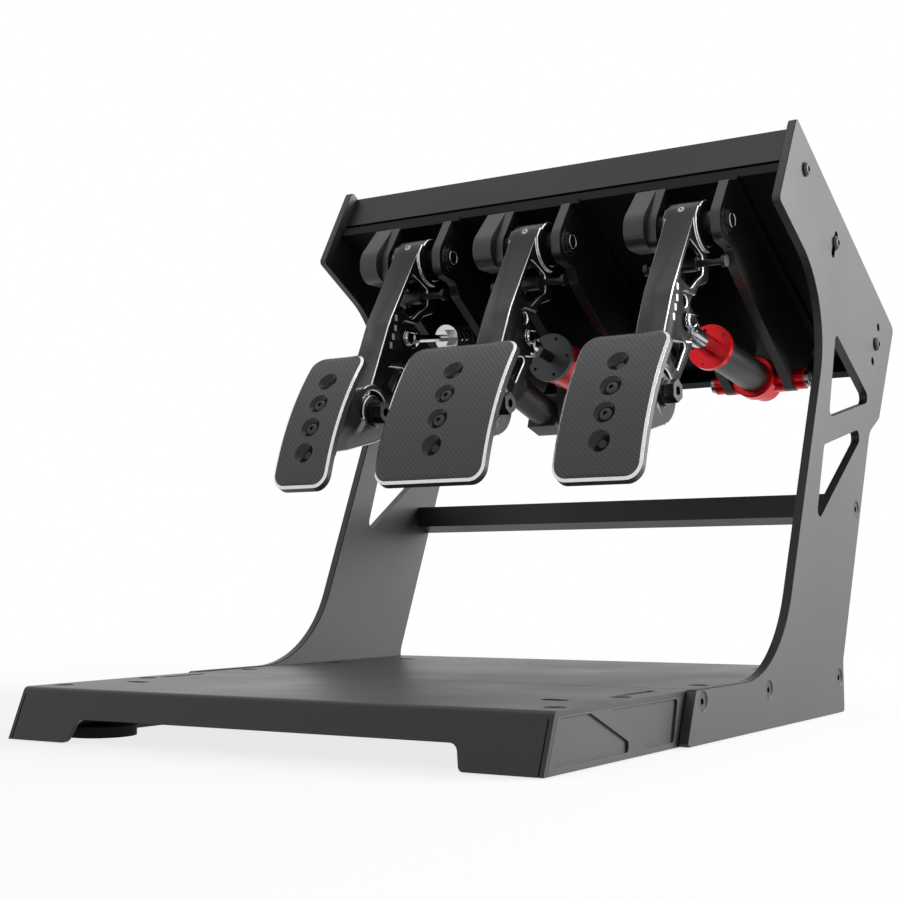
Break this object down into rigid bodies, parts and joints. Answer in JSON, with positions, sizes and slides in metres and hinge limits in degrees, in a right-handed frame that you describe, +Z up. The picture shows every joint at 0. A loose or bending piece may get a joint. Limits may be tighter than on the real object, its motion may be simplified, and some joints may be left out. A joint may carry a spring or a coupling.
{
  "type": "sim racing pedal set",
  "caption": "Sim racing pedal set: hanging clutch, brake and throttle pedals with dampers under a tilted mounting plate on a base with a heel plate.",
  "frame": {"origin": "on the floor under the middle of the set's bounding box", "axes": "+Z up, +X to the driver's right, +Y away from the driver"},
  "size_m": [0.4062, 0.584, 0.4265],
  "materials": {
    "anodised_black": "black anodised, fine matt",
    "anodised_grey": "dark grey anodised, satin",
    "carbon_face": "carbon weave facing with a polished metal rim",
    "chrome": "bright chrome",
    "bright_steel": "zinc-bright steel",
    "black_steel": "black oxide",
    "anodised_red": "red anodised, satin",
    "black_plastic": "moulded, fine texture",
    "rubber": "matt",
    "board_green": "solder-masked circuit board"
  },
  "bodies": {
    "root": {"side_plate_left": "anodised_black", "side_plate_right": "anodised_black", "base_beam_left": "anodised_black", "base_beam_right": "anodised_black", "heel_plate_front": "anodised_black", "heel_plate_rear": "anodised_black", "base_cross_rails": "anodised_black", "rubber_feet": "rubber", "rear_cross_bar": "anodised_black", "fascia_beam": "anodised_black", "mounting_plate": "anodised_black", "plate_side_rails": "anodised_black", "button_screws": "black_steel", "countersunk_screws": "black_steel", "control_box": "black_plastic", "control_box_lid": "black_plastic", "control_board": "board_green", "pedal_base_plates": "anodised_black", "clutch_cheeks": "anodised_black", "brake_cheeks": "anodised_black", "throttle_cheeks": "anodised_black", "stop_sleeves": "bright_steel", "pivot_bearings": "bright_steel", "sensor_housings": "black_plastic", "sensor_covers": "black_plastic", "damper_bushes": "anodised_red", "trunnion_bolts": "bright_steel", "brake_pressure_cylinder": "anodised_grey", "brake_pressure_block": "anodised_grey"},
    "clutch_pedal": {"clutch_arm": "anodised_black", "clutch_shaft": "bright_steel", "clutch_face": "carbon_face", "clutch_face_bracket": "anodised_grey", "clutch_angle_lock": "black_steel", "clutch_clevis_pin": "chrome"},
    "clutch_push_rod": {"clutch_rod": "black_steel", "clutch_clevis": "chrome"},
    "brake_pedal": {"brake_arm": "anodised_black", "brake_shaft": "bright_steel", "brake_face": "carbon_face", "brake_face_bracket": "anodised_grey", "brake_angle_lock": "black_steel", "brake_clevis_pin": "chrome"},
    "brake_push_rod": {"brake_rod": "black_steel", "brake_clevis": "chrome"},
    "throttle_pedal": {"throttle_arm": "anodised_black", "throttle_shaft": "bright_steel", "throttle_face": "carbon_face", "throttle_face_bracket": "anodised_grey", "throttle_angle_lock": "black_steel", "throttle_clevis_pin": "chrome"},
    "throttle_push_rod": {"throttle_rod": "chrome", "throttle_clevis": "chrome"},
    "clutch_spring_block": {"clutch_trunnion": "anodised_grey", "clutch_spring": "black_steel"},
    "brake_damper": {"brake_cylinder": "anodised_red", "brake_flange": "anodised_grey"},
    "throttle_damper": {"throttle_cylinder": "anodised_grey", "throttle_flange": "anodised_red", "throttle_rear_cap": "anodised_red"}
  },
  "joints": [
    {"name": "clutch_swing", "type": "hinge", "parent": "root", "child": "clutch_pedal", "pos_m": [-0.107, 0.05001, 0.35295], "axis": [1, 0, 0], "range_deg": [0, 20], "stiffness_Nm_per_rad": 20, "springref_deg": -5.73},
    {"name": "clutch_spring_block_turn", "type": "hinge", "parent": "root", "child": "clutch_spring_block", "pos_m": [-0.107, 0.14701, 0.30445], "axis": [1, 0, 0], "range_deg": [0, 6.15]},
    {"name": "clutch_rod_slide", "type": "slide", "parent": "clutch_spring_block", "child": "clutch_push_rod", "axis": [0, 0.9903, 0.1388], "range_m": [0, 0.02294], "deforming": ["clutch_spring"]},
    {"name": "brake_swing", "type": "hinge", "parent": "root", "child": "brake_pedal", "pos_m": [0, 0.05001, 0.35295], "axis": [1, 0, 0], "range_deg": [0, 10], "stiffness_Nm_per_rad": 60, "springref_deg": -5.73},
    {"name": "brake_damper_turn", "type": "hinge", "parent": "root", "child": "brake_damper", "pos_m": [0, 0.18001, 0.25245], "axis": [1, 0, 0], "range_deg": [0, 1.09]},
    {"name": "brake_rod_slide", "type": "slide", "parent": "brake_damper", "child": "brake_push_rod", "axis": [0, 0.988, -0.1546], "range_m": [0, 0.01412]},
    {"name": "throttle_swing", "type": "hinge", "parent": "root", "child": "throttle_pedal", "pos_m": [0.1285, 0.05001, 0.35295], "axis": [1, 0, 0], "range_deg": [0, 18], "stiffness_Nm_per_rad": 14, "springref_deg": -5.73},
    {"name": "throttle_damper_turn", "type": "hinge", "parent": "root", "child": "throttle_damper", "pos_m": [0.1285, 0.18001, 0.25245], "axis": [1, 0, 0], "range_deg": [0, 1.42]},
    {"name": "throttle_rod_slide", "type": "slide", "parent": "throttle_damper", "child": "throttle_push_rod", "axis": [0, 0.988, -0.1546], "range_m": [0, 0.02551]}
  ],
  "couplings": [
    {"joint": "clutch_spring_block_turn", "follows": "clutch_swing", "ratio": 0.30238},
    {"joint": "clutch_rod_slide", "follows": "clutch_swing", "m_per_rad": 0.065439},
    {"joint": "brake_damper_turn", "follows": "brake_swing", "ratio": 0.09924},
    {"joint": "brake_rod_slide", "follows": "brake_swing", "m_per_rad": 0.080317},
    {"joint": "throttle_damper_turn", "follows": "throttle_swing", "ratio": 0.07311},
    {"joint": "throttle_rod_slide", "follows": "throttle_swing", "m_per_rad": 0.080869}
  ]
}
